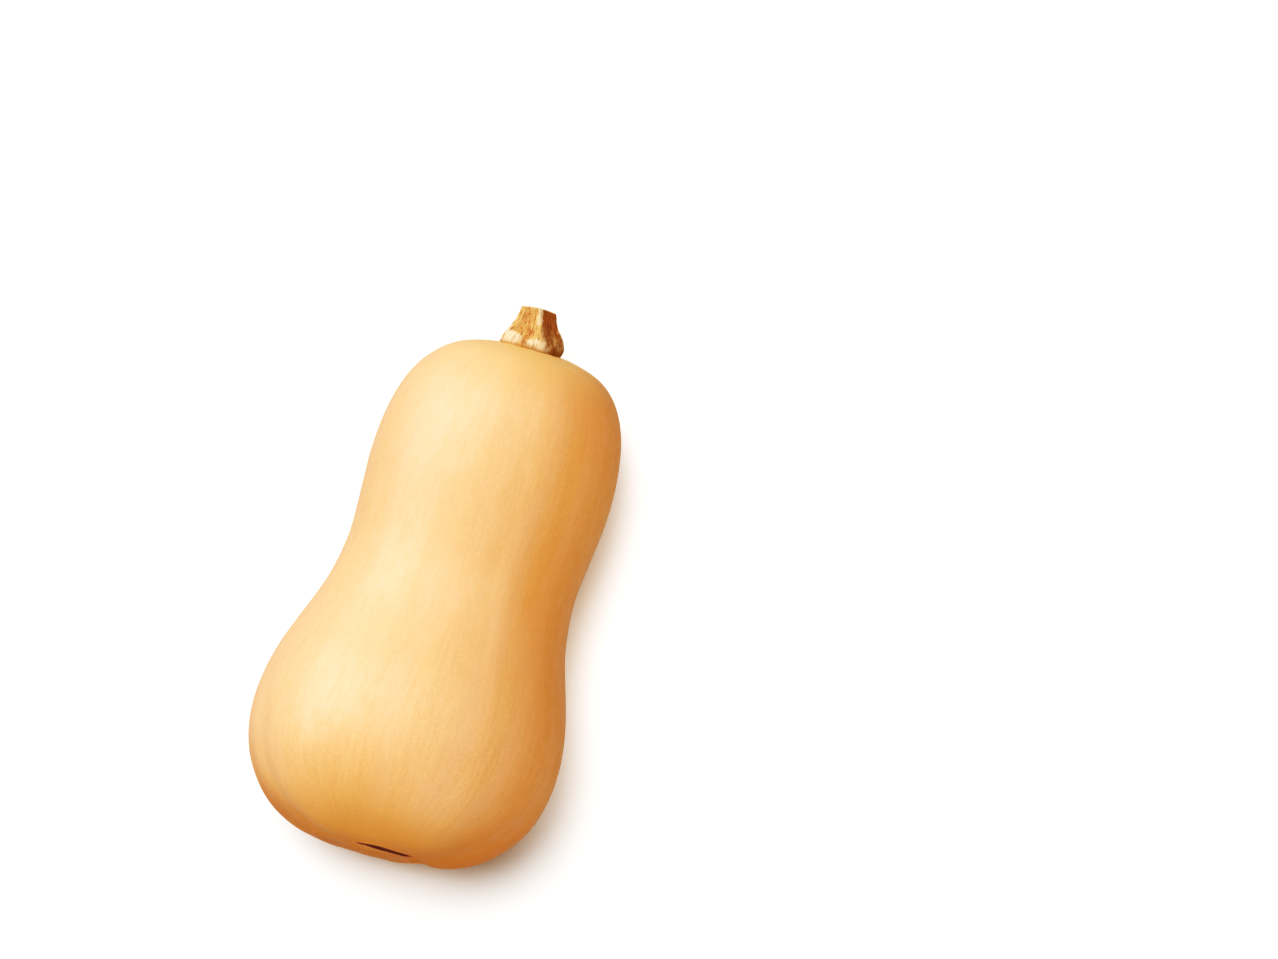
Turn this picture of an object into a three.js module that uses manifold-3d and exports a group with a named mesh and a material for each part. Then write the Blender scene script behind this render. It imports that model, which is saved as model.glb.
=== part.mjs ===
// A butternut squash lying on a flat surface, with the dry stub of its stem.
// Millimetres, +Z up. The length of the fruit runs along Y: blossom end towards -Y, stem towards +Y.
// The fruit rests on two small flats, one under the bulb and one under the neck.

import * as THREE from 'three';
import { mergeVertices } from 'three/addons/utils/BufferGeometryUtils.js';
import Module from 'manifold-3d';

const wasm = await Module();
wasm.setup();

// ---------------------------------------------------------------- driving dimensions

// Outline of the fruit, from the floor of the blossom scar to the stem seat:
// [distance along the length, radius].
const FRUIT_OUTLINE = [
  [5.4, 0], [4.9, 5], [3.4, 10], [2.8, 16], [4, 26], [10.4, 43], [26, 54.6], [46, 58.9], [68, 56.2],
  [92, 48.4], [118, 44.9], [146, 46.8], [169, 45.1], [185, 40.2], [196, 29.4], [201.2, 13], [202.2, 0],
];
const FRUIT_RINGS = 46;
const FRUIT_SEGMENTS = 56;

// The fruit is a little bent, with both ends turned up, and its ends are a little askew.
const BEND_START = 95; // distance along the length where the centreline is level
const BLOSSOM_END_SLOPE = 0.2; // rise of the centreline per millimetre at the blossom end
const STEM_END_SLOPE = 0.15; // and at the stem end
const BLOSSOM_END_SKEW = 0.06; // shift along the length for each millimetre to the side, at the blossom end
const STEM_END_SKEW = 0.027; // and at the stem end

// Five soft lobes swell the bulb next to the blossom scar.
const LOBE_COUNT = 5;
const LOBE_SHARE = 0.015; // height of a lobe, as a share of the radius
const LOBE_LENGTH = 45; // distance from the blossom end over which the lobes fade out
const LOBE_TURN = 0.5; // angle of the first lobe from the top, in radians

const REST_DEPTH = 0.7; // how deep the two flats are pressed into the round fruit
const SETTLING_ROUNDS = 12; // steps in which the laid fruit finds its balance on bulb and neck
const MERGE_DISTANCE = 1e-4; // corners closer than this are one corner

// Stub of the stem: [height over the seat, radius of the ribs].
const STEM_OUTLINE = [
  [-3, 10.4], [-1.4, 11.6], [0.6, 12.6], [2.6, 12.4], [4.8, 11], [7, 9.2], [9.6, 7.8], [14, 7],
];
const STEM_RINGS = 14;
const STEM_SEGMENTS = 40;
const RIB_COUNT = 5;
const RIB_DEPTH = 0.09; // half the height of a rib, as a share of the radius
const RIB_TURN = 0.27; // angle of the first rib from the top, in radians
const STEM_LEAN = 0.09; // sideways lean of the stem, in radians
const STEM_RISE = 0.03; // upward lean of the stem, in radians
const STEM_OFFSET = -1.5; // sideways distance from the middle of the fruit's end to the stem's axis
const STEM_GAP = 0.3; // clearance between the stem and the skin under it

const SKIN = { color: 0xe6b36c, roughness: 0.45, metalness: 0 };
const DRY_STEM = { color: 0xb98a4a, roughness: 0.85, metalness: 0 };

// ---------------------------------------------------------------- helpers

// Points of a smooth outline through [distance, radius] pairs, as a lathe wants them.
function smoothOutline(pairs, count) {
  const knots = pairs.map(([distance, radius]) => new THREE.Vector3(radius, distance, 0));
  const curve = new THREE.CatmullRomCurve3(knots, false, 'centripetal');
  return curve.getSpacedPoints(count).map((point) => new THREE.Vector2(Math.max(point.x, 0), point.y));
}

// A closed solid from a geometry: shared corners are merged and collapsed triangles are left out.
function toSolid(geometry) {
  const bare = geometry.clone();
  bare.deleteAttribute('normal');
  bare.deleteAttribute('uv');
  const merged = mergeVertices(bare, MERGE_DISTANCE);
  const corners = merged.getIndex().array;
  const triangles = [];
  for (let first = 0; first < corners.length; first += 3) {
    const [a, b, c] = corners.slice(first, first + 3);
    if (a !== b && b !== c && c !== a) triangles.push(a, b, c);
  }
  const vertProperties = new Float32Array(merged.getAttribute('position').array);
  const triVerts = new Uint32Array(triangles);
  return new wasm.Manifold(new wasm.Mesh({ numProp: 3, vertProperties, triVerts }));
}

// The faceted geometry of a solid.
function toGeometry(solid) {
  const mesh = solid.getMesh();
  const geometry = new THREE.BufferGeometry();
  geometry.setAttribute('position', new THREE.BufferAttribute(mesh.vertProperties, 3));
  geometry.setIndex(new THREE.BufferAttribute(mesh.triVerts, 1));
  geometry.computeVertexNormals();
  return geometry;
}

function makeMesh(name, geometry, finish) {
  const mesh = new THREE.Mesh(geometry, new THREE.MeshStandardMaterial(finish));
  mesh.name = name;
  return mesh;
}

// Moves every corner of a geometry to where move(corner) puts it.
function reshape(geometry, move) {
  const position = geometry.getAttribute('position');
  const corner = new THREE.Vector3();
  for (let index = 0; index < position.count; index += 1) {
    corner.fromBufferAttribute(position, index);
    move(corner);
    position.setXYZ(index, corner.x, corner.y, corner.z);
  }
  geometry.computeVertexNormals();
  return geometry;
}

// ---------------------------------------------------------------- the fruit

const FRUIT_LENGTH = FRUIT_OUTLINE[FRUIT_OUTLINE.length - 1][0];

// Height and slope of the centreline, and skew, at a distance along the length.
function centreline(distance) {
  const atBlossomEnd = distance < BEND_START;
  const reach = atBlossomEnd ? BEND_START : FRUIT_LENGTH - BEND_START;
  const endSlope = atBlossomEnd ? BLOSSOM_END_SLOPE : STEM_END_SLOPE;
  const endSkew = atBlossomEnd ? BLOSSOM_END_SKEW : STEM_END_SKEW;
  const away = (distance - BEND_START) / reach; // -1 or 1 at an end of the fruit, 0 where it is level
  return {
    height: (endSlope * away * away * reach) / 2,
    slope: Math.atan(endSlope * away),
    skew: endSkew * Math.abs(away),
  };
}

// Takes a corner of the straight, round fruit to its place on the grown one.
function growFruit(corner) {
  const distance = corner.y;
  const fade = THREE.MathUtils.smoothstep(LOBE_LENGTH - distance, 0, LOBE_LENGTH);
  const turn = Math.atan2(corner.x, corner.z) - LOBE_TURN;
  const swell = 1 + LOBE_SHARE * fade * Math.cos(LOBE_COUNT * turn);
  const across = corner.x * swell;
  const up = corner.z * swell;
  const { height, slope, skew } = centreline(distance);
  corner.set(across, distance - up * Math.sin(slope) + skew * across, height + up * Math.cos(slope));
}

// The fruit's surface, or one that lies a given distance outside it.
function fruitGeometry(growth = 0) {
  const outline = smoothOutline(FRUIT_OUTLINE, FRUIT_RINGS);
  const grown = outline.map((point, index) => {
    const before = outline[Math.max(index - 1, 0)];
    const after = outline[Math.min(index + 1, outline.length - 1)];
    const along = after.clone().sub(before).normalize();
    const onAxis = index === 0 || index === outline.length - 1;
    const endways = new THREE.Vector2(0, Math.sign(index - 1));
    const outward = onAxis ? endways : new THREE.Vector2(along.y, -along.x);
    return point.clone().addScaledVector(outward, growth);
  });
  return reshape(new THREE.LatheGeometry(grown, FRUIT_SEGMENTS), growFruit);
}

// The lowest corner on one side of the bend when the stem end is tipped down by an angle.
function lowestCorner(geometry, tip, belongs) {
  const position = geometry.getAttribute('position');
  const lowest = { y: 0, z: Infinity };
  for (let index = 0; index < position.count; index += 1) {
    const y = position.getY(index) * Math.cos(tip) + position.getZ(index) * Math.sin(tip);
    const z = position.getZ(index) * Math.cos(tip) - position.getY(index) * Math.sin(tip);
    if (belongs(position.getY(index)) && z < lowest.z) Object.assign(lowest, { y, z });
  }
  return lowest;
}

// How far the stem end tips down when the bulb and the neck both touch the surface, and where that is.
function restingPlace(geometry) {
  let tip = 0;
  let bulb;
  let neck;
  for (let round = 0; round < SETTLING_ROUNDS; round += 1) {
    bulb = lowestCorner(geometry, tip, (y) => y < BEND_START);
    neck = lowestCorner(geometry, tip, (y) => y >= BEND_START);
    tip += Math.atan2(neck.z - bulb.z, neck.y - bulb.y);
  }
  return { tip, low: Math.min(bulb.z, neck.z) };
}

const fruitSurface = fruitGeometry();
const rest = restingPlace(fruitSurface);

// Everything under the resting surface, in the fruit's own frame.
function underside() {
  const size = 2 * FRUIT_LENGTH;
  const block = new THREE.BoxGeometry(size, size, size);
  block.translate(0, 0, rest.low + REST_DEPTH - size / 2);
  block.rotateX(rest.tip);
  return toSolid(block);
}

const squashBody = makeMesh('squash_body', toGeometry(toSolid(fruitSurface).subtract(underside())), SKIN);

// ---------------------------------------------------------------- the stem

// Draws a corner of the round stem in between the ribs.
function ribStem(corner) {
  const turn = Math.atan2(corner.x, corner.z) - RIB_TURN;
  const share = 1 - RIB_DEPTH + RIB_DEPTH * Math.cos(RIB_COUNT * turn);
  corner.x *= share;
  corner.z *= share;
}

function stemGeometry() {
  const side = smoothOutline(STEM_OUTLINE, STEM_RINGS);
  const first = new THREE.Vector2(0, side[0].y);
  const last = new THREE.Vector2(0, side[side.length - 1].y);
  return reshape(new THREE.LatheGeometry([first, ...side, last], STEM_SEGMENTS), ribStem);
}

// The stem stands on the stem end of the centreline and leans a little to one side.
const stemEnd = centreline(FRUIT_LENGTH);
const stemPlace = new THREE.Matrix4().makeRotationFromEuler(
  new THREE.Euler(stemEnd.slope + STEM_RISE, 0, STEM_LEAN, 'ZXY'),
);
stemPlace.setPosition(STEM_OFFSET, FRUIT_LENGTH, stemEnd.height);

const skinUnderStem = fruitGeometry(STEM_GAP).applyMatrix4(stemPlace.clone().invert());
const stem = makeMesh('stem', toGeometry(toSolid(stemGeometry()).subtract(toSolid(skinUnderStem))), DRY_STEM);
stem.applyMatrix4(stemPlace);

// ---------------------------------------------------------------- the whole squash

// Laid on the surface, with the middle of its floor plan at the origin.
const laid = new THREE.Group();
laid.add(squashBody, stem);
laid.rotation.x = -rest.tip;

const squash = new THREE.Group();
squash.add(laid);
const box = new THREE.Box3().setFromObject(squash, true);
const middle = box.getCenter(new THREE.Vector3());
laid.position.set(-middle.x, -middle.y, -box.min.z);

export default squash;
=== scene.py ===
"""A butternut squash with the dry stub of its stem, lying on a pale studio floor.

Everything is in metres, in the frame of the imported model: +Y runs along the fruit towards its stem,
+Z is up and the floor is at zero. The fruit and the stem are grown ring by ring along their own
axes and then laid in that frame.
"""
from __future__ import annotations

import logging
import math
from dataclasses import dataclass, field
from enum import Enum
from typing import Callable

import bmesh
import bpy
import numpy as np
from mathutils import Matrix, Vector, noise


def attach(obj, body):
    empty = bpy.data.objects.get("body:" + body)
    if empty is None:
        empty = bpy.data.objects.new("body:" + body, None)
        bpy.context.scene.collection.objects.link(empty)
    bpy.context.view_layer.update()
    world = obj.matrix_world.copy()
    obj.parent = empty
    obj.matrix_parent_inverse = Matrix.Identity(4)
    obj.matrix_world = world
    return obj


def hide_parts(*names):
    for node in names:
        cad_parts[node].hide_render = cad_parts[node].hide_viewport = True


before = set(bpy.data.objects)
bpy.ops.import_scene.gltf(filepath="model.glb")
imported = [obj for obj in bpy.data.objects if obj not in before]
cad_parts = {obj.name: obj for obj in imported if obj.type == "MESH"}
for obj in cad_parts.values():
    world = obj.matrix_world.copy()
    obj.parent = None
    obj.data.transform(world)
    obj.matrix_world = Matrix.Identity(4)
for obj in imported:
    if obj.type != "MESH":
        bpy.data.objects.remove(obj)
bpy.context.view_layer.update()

MM = 0.001
BODY = "root"
Piece = bpy.types.Object
Socket = bpy.types.NodeSocket
log = logging.getLogger("squash")


# ------------------------------------------------------------------------------- bench tools


class Bench:
    """The few steps that every piece on the bench goes through."""

    LEAST_HEIGHT = 1e-6
    LEAST_SHARE = 1e-4
    MERGE_DISTANCE = 1e-6

    @staticmethod
    def clear() -> None:
        """Leaves no object selected."""
        bpy.ops.object.select_all(action="DESELECT")

    @staticmethod
    def take(piece: Piece) -> None:
        """Makes a piece the only selected and the active one.

        Args:
            piece: The object that is worked on next.
        """
        Bench.clear()
        piece.select_set(True)
        bpy.context.view_layer.objects.active = piece

    @staticmethod
    def apply(piece: Piece, modifier: bpy.types.Modifier) -> None:
        """Applies one modifier of a piece."""
        Bench.take(piece)
        bpy.ops.object.modifier_apply(modifier=modifier.name)

    @staticmethod
    def select(piece: Piece, belongs: Callable[[Vector], bool]) -> None:
        """Selects corners in edit mode by their place.

        Args:
            piece: The object that is in edit mode.
            belongs: Says of a place whether a corner there is taken.
        """
        mesh = bmesh.from_edit_mesh(piece.data)
        for corner in mesh.verts:
            corner.select_set(belongs(corner.co))
        mesh.select_flush_mode()
        bmesh.update_edit_mesh(piece.data)

    @staticmethod
    def places(piece: Piece) -> np.ndarray:
        """Reads the places of a piece's corners.

        Args:
            piece: A mesh object in object mode.

        Returns:
            One row of x, y and z for each corner.
        """
        flat = np.zeros(len(piece.data.vertices) * 3)
        piece.data.vertices.foreach_get("co", flat)
        return flat.reshape(-1, 3)

    @staticmethod
    def smooth(piece: Piece, levels: int) -> None:
        """Subdivides a piece as a smooth surface and applies it.

        Args:
            piece: The mesh object.
            levels: How many times each face is divided.
        """
        modifier = piece.modifiers.new("smooth", "SUBSURF")
        modifier.levels = levels
        modifier.render_levels = levels
        Bench.apply(piece, modifier)

    @staticmethod
    def relief(piece: Piece, name: str, heights: np.ndarray, direction: str = "NORMAL") -> None:
        """Raises and sinks a surface along its normals, or moves it along one axis.

        Args:
            piece: The mesh object.
            name: What the feature is called.
            heights: The height at each corner in millimetres, negative where it sinks.
            direction: NORMAL, or the name of the axis.
        """
        for sign, suffix in ((1.0, "up"), (-1.0, "down")):
            share = np.clip(heights * sign, 0.0, None)
            most = float(share.max())
            if most < Bench.LEAST_HEIGHT:
                continue
            group = piece.vertex_groups.new(name=f"{name}_{suffix}")
            for index in np.nonzero(share > Bench.LEAST_SHARE * most)[0].tolist():
                group.add([index], share[index] / most, "REPLACE")
            modifier = piece.modifiers.new(group.name, "DISPLACE")
            modifier.vertex_group = group.name
            modifier.direction = direction
            modifier.mid_level = 0.0
            modifier.strength = sign * most * MM
            Bench.apply(piece, modifier)
            piece.vertex_groups.clear()

    @staticmethod
    def tag(piece: Piece, **values: np.ndarray) -> None:
        """Stores numbers or vectors for each corner, for the materials to read.

        Args:
            piece: The mesh object.
            values: By name, one number or one row of three numbers for each corner.
        """
        for name, rows in values.items():
            kind, part = ("FLOAT", "value") if rows.ndim == 1 else ("FLOAT_VECTOR", "vector")
            layer = piece.data.attributes.new(name, kind, "POINT")
            layer.data.foreach_set(part, rows.astype(np.float32).ravel())

    @staticmethod
    def close_up(piece: Piece) -> None:
        """Merges doubles, faces every polygon outwards and shades them smooth.

        Args:
            piece: The mesh object.
        """
        Bench.take(piece)
        bpy.ops.object.mode_set(mode="EDIT")
        bpy.ops.mesh.select_all(action="SELECT")
        bpy.ops.mesh.remove_doubles(threshold=Bench.MERGE_DISTANCE)
        bpy.ops.mesh.normals_make_consistent(inside=False)
        bpy.ops.object.mode_set(mode="OBJECT")
        bpy.ops.object.shade_smooth()


# ------------------------------------------------------------------------------- growth tools


@dataclass(frozen=True)
class Grade:
    """A smooth grade from 0 at one value to 1 at another, which may be the lower of the two."""

    none: float
    full: float

    def of(self, values: np.ndarray) -> np.ndarray:
        """How far each value has gone, from 0 to 1."""
        share = np.clip((values - self.none) / (self.full - self.none), 0.0, 1.0)
        return share * share * (3.0 - 2.0 * share)


@dataclass(frozen=True)
class Hump:
    """A bell curve of height 1: its middle, and how far out it has fallen to about a third."""

    middle: float
    width: float

    def of(self, values: np.ndarray) -> np.ndarray:
        """Height of the curve at each value."""
        return np.exp(-(((values - self.middle) / self.width) ** 2))


@dataclass(frozen=True)
class Waves:
    """Smooth uneven waves, the same each time: their height and the distances between two.

    The seed shifts them, so that two differ. The gain makes up for the low swing of the noise.
    """

    height: float
    across: float
    along: float
    seed: float
    gain: float = 1.6

    def at(self, places: np.ndarray) -> np.ndarray:
        """Heights of the waves.

        Args:
            places: Rows of x, y and z, in the unit of the distances between two waves.

        Returns:
            One height for each place, seldom beyond the waves' own height.
        """
        scaled = places / np.array((self.across, self.along, self.across)) + self.seed
        values = np.array([noise.noise(Vector(row)) for row in scaled.tolist()])
        return self.height * self.gain * values


def turned(turns: np.ndarray, middle: float | np.ndarray) -> np.ndarray:
    """Signed angles from a middle one, the short way round."""
    return (turns - middle + math.pi) % (2.0 * math.pi) - math.pi


@dataclass(frozen=True)
class Ring:
    """One ring of a grown form: its middle, its radius and how its plane is turned, in radians."""

    middle: Vector
    radius: float
    pitch: float = 0.0
    yaw: float = 0.0


class Grower:
    """Grows a closed tube ring by ring, by extruding, resizing and turning the last ring."""

    @staticmethod
    def grow(name: str, rings: list[Ring], segments: int) -> Piece:
        """Grows a form along +Y from a first circle.

        Args:
            name: The new object's name.
            rings: The rings, from the first to the last. Both ends are closed by a flat face.
            segments: How many corners each ring has.

        Returns:
            The new object, in object mode.
        """
        Bench.clear()
        first = rings[0]
        bpy.ops.mesh.primitive_circle_add(
            vertices=segments,
            radius=first.radius,
            fill_type="NGON",
            location=first.middle,
            rotation=(math.pi / 2.0, 0.0, 0.0),
        )
        piece = bpy.context.object
        piece.name = name
        piece.data.name = name
        bpy.ops.object.transform_apply(location=True, rotation=True, scale=True)
        bpy.ops.object.mode_set(mode="EDIT")
        bpy.ops.mesh.select_all(action="SELECT")
        Grower.turn(first.middle, first.pitch, first.yaw)
        for before, after in zip(rings, rings[1:]):
            step = after.middle - before.middle
            bpy.ops.mesh.extrude_region_move(TRANSFORM_OT_translate={"value": step})
            growth = after.radius / before.radius
            bpy.ops.transform.resize(value=(growth, growth, growth), center_override=after.middle)
            Grower.turn(after.middle, after.pitch - before.pitch, after.yaw - before.yaw)
        bpy.ops.object.mode_set(mode="OBJECT")
        return piece

    @staticmethod
    def turn(middle: Vector, pitch: float, yaw: float) -> None:
        """Turns what is selected about X and Z. With no window the operator turns the other way.

        Args:
            middle: The point that stays.
            pitch: The right-handed angle about X.
            yaw: The right-handed angle about Z.
        """
        for axis, angle in (("X", pitch), ("Z", yaw)):
            bpy.ops.transform.rotate(value=-angle, orient_axis=axis, center_override=middle)


@dataclass(frozen=True)
class Outline:
    """A smooth curve through (distance, radius) knots, in millimetres."""

    knots: tuple[tuple[float, float], ...]
    fineness: int = 24

    @property
    def end(self) -> float:
        """Distance of the last knot."""
        return self.knots[-1][0]

    def points(self, steps: tuple[tuple[float, float], ...]) -> list[tuple[float, float]]:
        """Samples the curve along its length.

        Args:
            steps: Pairs of how far along the curve a spacing holds, and the spacing, in order.

        Returns:
            (distance, radius) pairs in millimetres, both ends among them.
        """
        knots = [Vector(knot) for knot in self.knots]
        knots = [2 * knots[0] - knots[1], *knots, 2 * knots[-1] - knots[-2]]
        dense: list[Vector] = []
        for index in range(1, len(knots) - 2):
            dense.extend(self._span(knots[index - 1 : index + 3]))
        dense.append(knots[-2])
        lengths = np.cumsum([0.0] + [(b - a).length for a, b in zip(dense, dense[1:])])
        wanted = [0.0]
        for until, spacing in steps:
            until = min(until, float(lengths[-1]))
            count = max(1, round((until - wanted[-1]) / spacing))
            wanted.extend(np.linspace(wanted[-1], until, count + 1)[1:].tolist())
        distance = np.interp(wanted, lengths, [p.x for p in dense])
        radius = np.interp(wanted, lengths, [p.y for p in dense])
        return [(float(d), float(r)) for d, r in zip(distance, radius)]

    def _span(self, four: list[Vector]) -> list[Vector]:
        """Centripetal Catmull-Rom points from the second knot up to, not at, the third.

        Args:
            four: Four knots in a row.

        Returns:
            The points of the span.
        """
        times = [0.0]
        for a, b in zip(four, four[1:]):
            times.append(times[-1] + math.sqrt((b - a).length))
        points = []
        for step in range(self.fineness):
            t = times[1] + (times[2] - times[1]) * step / self.fineness
            row = list(four)
            for level in (1, 2, 3):
                row = [
                    (row[i] * (times[i + level] - t) + row[i + 1] * (t - times[i]))
                    / (times[i + level] - times[i])
                    for i in range(4 - level)
                ]
            points.append(row[0])
        return points


# ------------------------------------------------------------------------------- the fruit's form


@dataclass(frozen=True)
class GourdForm:
    """The grown shape of the fruit in its own frame, in millimetres and radians.

    Distances run along the fruit from the blossom end. Turns run from its top towards +X.
    """

    outline: Outline = Outline(
        (
            (3.3, 1.6), (3.2, 5), (3.0, 10), (2.8, 16), (3.4, 24.7), (10.6, 42.3), (25.7, 55.1),
            (46, 59.4), (67.9, 56.5), (94.2, 48.0), (115.4, 45.0), (146.6, 47.0), (168.7, 45.5),
            (185, 40.2), (196.8, 29.6), (201.6, 13.4), (202.1, 2),
        )
    )
    sideways: tuple[tuple[float, float], ...] = (
        (0, 2.5), (15, 0.7), (35, 0.2), (60, 0.1), (95, 0.4),
        (130, 0.3), (160, 0.2), (185, 0.2), (202, 0.8),
    )
    length: float = 202.2
    bend_start: float = 95.0
    blossom_end_slope: float = 0.2
    stem_end_slope: float = 0.15
    blossom_end_skew: float = 0.06
    stem_end_skew: float = 0.027
    resting_tip: float = math.radians(6.93)
    laid_at: tuple[float, float, float] = (0.0, -106.47, 62.07)
    unbending_rounds: int = 8

    def away(self, distance: np.ndarray) -> np.ndarray:
        """Share of the way from the level middle to an end, negative towards the blossom."""
        short, long = self.bend_start, self.length - self.bend_start
        return (distance - self.bend_start) / np.where(distance < self.bend_start, short, long)

    def height(self, distance: np.ndarray) -> np.ndarray:
        """Height of the centreline over its level middle.

        Args:
            distance: Places along the length, in millimetres.

        Returns:
            Heights in millimetres.
        """
        lift = np.where(
            distance < self.bend_start,
            self.blossom_end_slope * self.bend_start,
            self.stem_end_slope * (self.length - self.bend_start),
        )
        return lift * self.away(distance) ** 2 / 2.0

    def slope(self, distance: np.ndarray) -> np.ndarray:
        """Pitch of the centreline."""
        slope = np.where(distance < self.bend_start, self.blossom_end_slope, self.stem_end_slope)
        return np.arctan(slope * self.away(distance))

    def skew(self, distance: np.ndarray) -> np.ndarray:
        """Shift along the length for each millimetre to the side."""
        skew = np.where(distance < self.bend_start, self.blossom_end_skew, self.stem_end_skew)
        return skew * np.abs(self.away(distance))

    def side(self, distance: np.ndarray) -> np.ndarray:
        """Sideways place of the centreline."""
        stations, shifts = zip(*self.sideways)
        return np.interp(distance, stations, shifts)

    def ring(self, distance: float, radius: float) -> Ring:
        """The ring at a distance along the fruit.

        Args:
            distance: Place along the length, in millimetres.
            radius: The ring's radius, in millimetres.

        Returns:
            The ring, in metres.
        """
        place = np.array(distance)
        return Ring(
            middle=Vector((float(self.side(place)), distance, float(self.height(place)))) * MM,
            radius=radius * MM,
            pitch=float(self.slope(place)),
            yaw=math.atan(float(self.skew(place))),
        )

    def unbend(self, places: np.ndarray) -> Straight:
        """Finds where places on the grown fruit lie on the straight one.

        Args:
            places: Rows of x, y and z in the fruit's own frame, in metres.

        Returns:
            The places on the straight fruit.
        """
        x, along, up = (places[:, i] / MM for i in range(3))
        distance = along.copy()
        for _ in range(self.unbending_rounds):
            across = x - self.side(distance)
            pitch = self.slope(distance)
            lift = (up - self.height(distance)) / np.cos(pitch)
            distance = along + lift * np.sin(pitch) - self.skew(distance) * across
        return Straight(distance, across, lift)

    def lay(self, piece: Piece) -> None:
        """Moves a piece from the fruit's own frame to where it lies in the model's frame.

        Args:
            piece: A piece that was grown in the fruit's own frame.
        """
        Bench.take(piece)
        piece.rotation_euler = (-self.resting_tip, 0.0, 0.0)
        piece.location = Vector(self.laid_at) * MM
        bpy.ops.object.transform_apply(location=True, rotation=True, scale=True)


@dataclass(frozen=True)
class Straight:
    """Places on a straight form, in millimetres: along it, across it and up from its axis."""

    along: np.ndarray
    across: np.ndarray
    up: np.ndarray

    @property
    def turn(self) -> np.ndarray:
        """Angle from the top towards +X."""
        return np.arctan2(self.across, self.up)

    @property
    def radius(self) -> np.ndarray:
        """Distance from the axis."""
        return np.hypot(self.across, self.up)

    def rows(self) -> np.ndarray:
        """Rows of x, y and z on the straight form, in millimetres."""
        return np.stack([self.across, self.along, self.up], axis=1)

    def rolled_out(self, girth: float) -> np.ndarray:
        """Rows of x, y and z on a tube of one girth, so that a pattern follows the growth.

        Args:
            girth: The tube's radius in millimetres.

        Returns:
            The rows, in millimetres.
        """
        turn = self.turn
        return np.stack([np.sin(turn) * girth, self.along, np.cos(turn) * girth], axis=1)


@dataclass(frozen=True)
class Furrow:
    """A soft furrow along the fruit, in millimetres. Turn and wander are in radians.

    The phase is a factor of the turn, so that no two furrows wander alike.
    """

    turn: float
    depth: float
    width: float
    start: float
    end: float
    wander: float = 0.05
    wave: float = 17.0
    phase: float = 5.0
    gather: Grade = Grade(12.0, 24.0)

    def heights(self, at: Straight) -> np.ndarray:
        """How much the furrow sinks the surface.

        Args:
            at: The places on the straight fruit.

        Returns:
            Heights in millimetres, none above 0.
        """
        middle = self.turn + self.wander * np.sin(at.along / self.wave + self.phase * self.turn)
        off = turned(at.turn, middle) * at.radius
        fade = Grade(self.end, self.start).of(at.along) * self.gather.of(at.radius)
        return -self.depth * Hump(0.0, self.width).of(off) * fade


@dataclass(frozen=True)
class Crease:
    """A crease in the blossom end, along (across, up) points, in millimetres."""

    points: tuple[tuple[float, float], ...]
    depth: float
    width: float
    blunt: float = 0.05
    taper: float = 0.6
    reach: Grade = Grade(40.0, 20.0)

    def closeness(self, at: Straight) -> np.ndarray:
        """How close the surface is to the crease: 1 on it, tapering off at its ends.

        Args:
            at: The places on the straight fruit.

        Returns:
            One number for each place.
        """
        here = np.stack([at.across, at.up], axis=1)
        line = np.array(self.points, dtype=float)
        lengths = np.linalg.norm(np.diff(line, axis=0), axis=1)
        run = np.concatenate([[0.0], np.cumsum(lengths)]) / lengths.sum()
        nearest = np.full(len(here), np.inf)
        share = np.zeros(len(here))
        for index, (a, b) in enumerate(zip(line, line[1:])):
            t = np.clip(((here - a) @ (b - a)) / ((b - a) @ (b - a)), 0.0, 1.0)
            gap = np.linalg.norm(here - (a + t[:, None] * (b - a)), axis=1)
            closer = gap < nearest
            nearest = np.where(closer, gap, nearest)
            share = np.where(closer, run[index] + t * (run[index + 1] - run[index]), share)
        ends = np.sin(np.pi * (self.blunt + (1.0 - 2.0 * self.blunt) * share)) ** self.taper
        return Hump(0.0, self.width).of(nearest) * ends * self.reach.of(at.along)

    def heights(self, at: Straight) -> np.ndarray:
        """How much the crease sinks the surface, in millimetres."""
        return -self.depth * self.closeness(at)


@dataclass(frozen=True)
class Dent:
    """A soft dent in the blossom end, in millimetres."""

    across: Hump
    up: Hump
    depth: float
    reach: Grade = Grade(30.0, 16.0)

    def heights(self, at: Straight) -> np.ndarray:
        """How much the dent sinks the surface, in millimetres."""
        spread = self.across.of(at.across) * self.up.of(at.up)
        return -self.depth * spread * self.reach.of(at.along)


@dataclass(frozen=True)
class UnevenRound:
    """An uneven round outline on the blossom end, in millimetres.

    A ripple is its share of the size, how often it goes round, and its shift in radians.
    """

    across: float
    up: float
    half_width: float
    half_height: float
    ripples: tuple[tuple[float, float, float], ...]
    squareness: float = 2.0

    def spread(self, at: Straight) -> np.ndarray:
        """Distance from the middle as a share of the outline there.

        Args:
            at: The places on the straight fruit.

        Returns:
            0 in the middle and 1 on the outline.
        """
        x = (at.across - self.across) / self.half_width
        y = (at.up - self.up) / self.half_height
        angle = np.arctan2(x, y)
        waves = (size * np.cos(count * angle + shift) for size, count, shift in self.ripples)
        uneven, power = 1.0 + sum(waves), self.squareness
        return (np.abs(x) ** power + np.abs(y) ** power) ** (1.0 / power) / uneven


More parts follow.
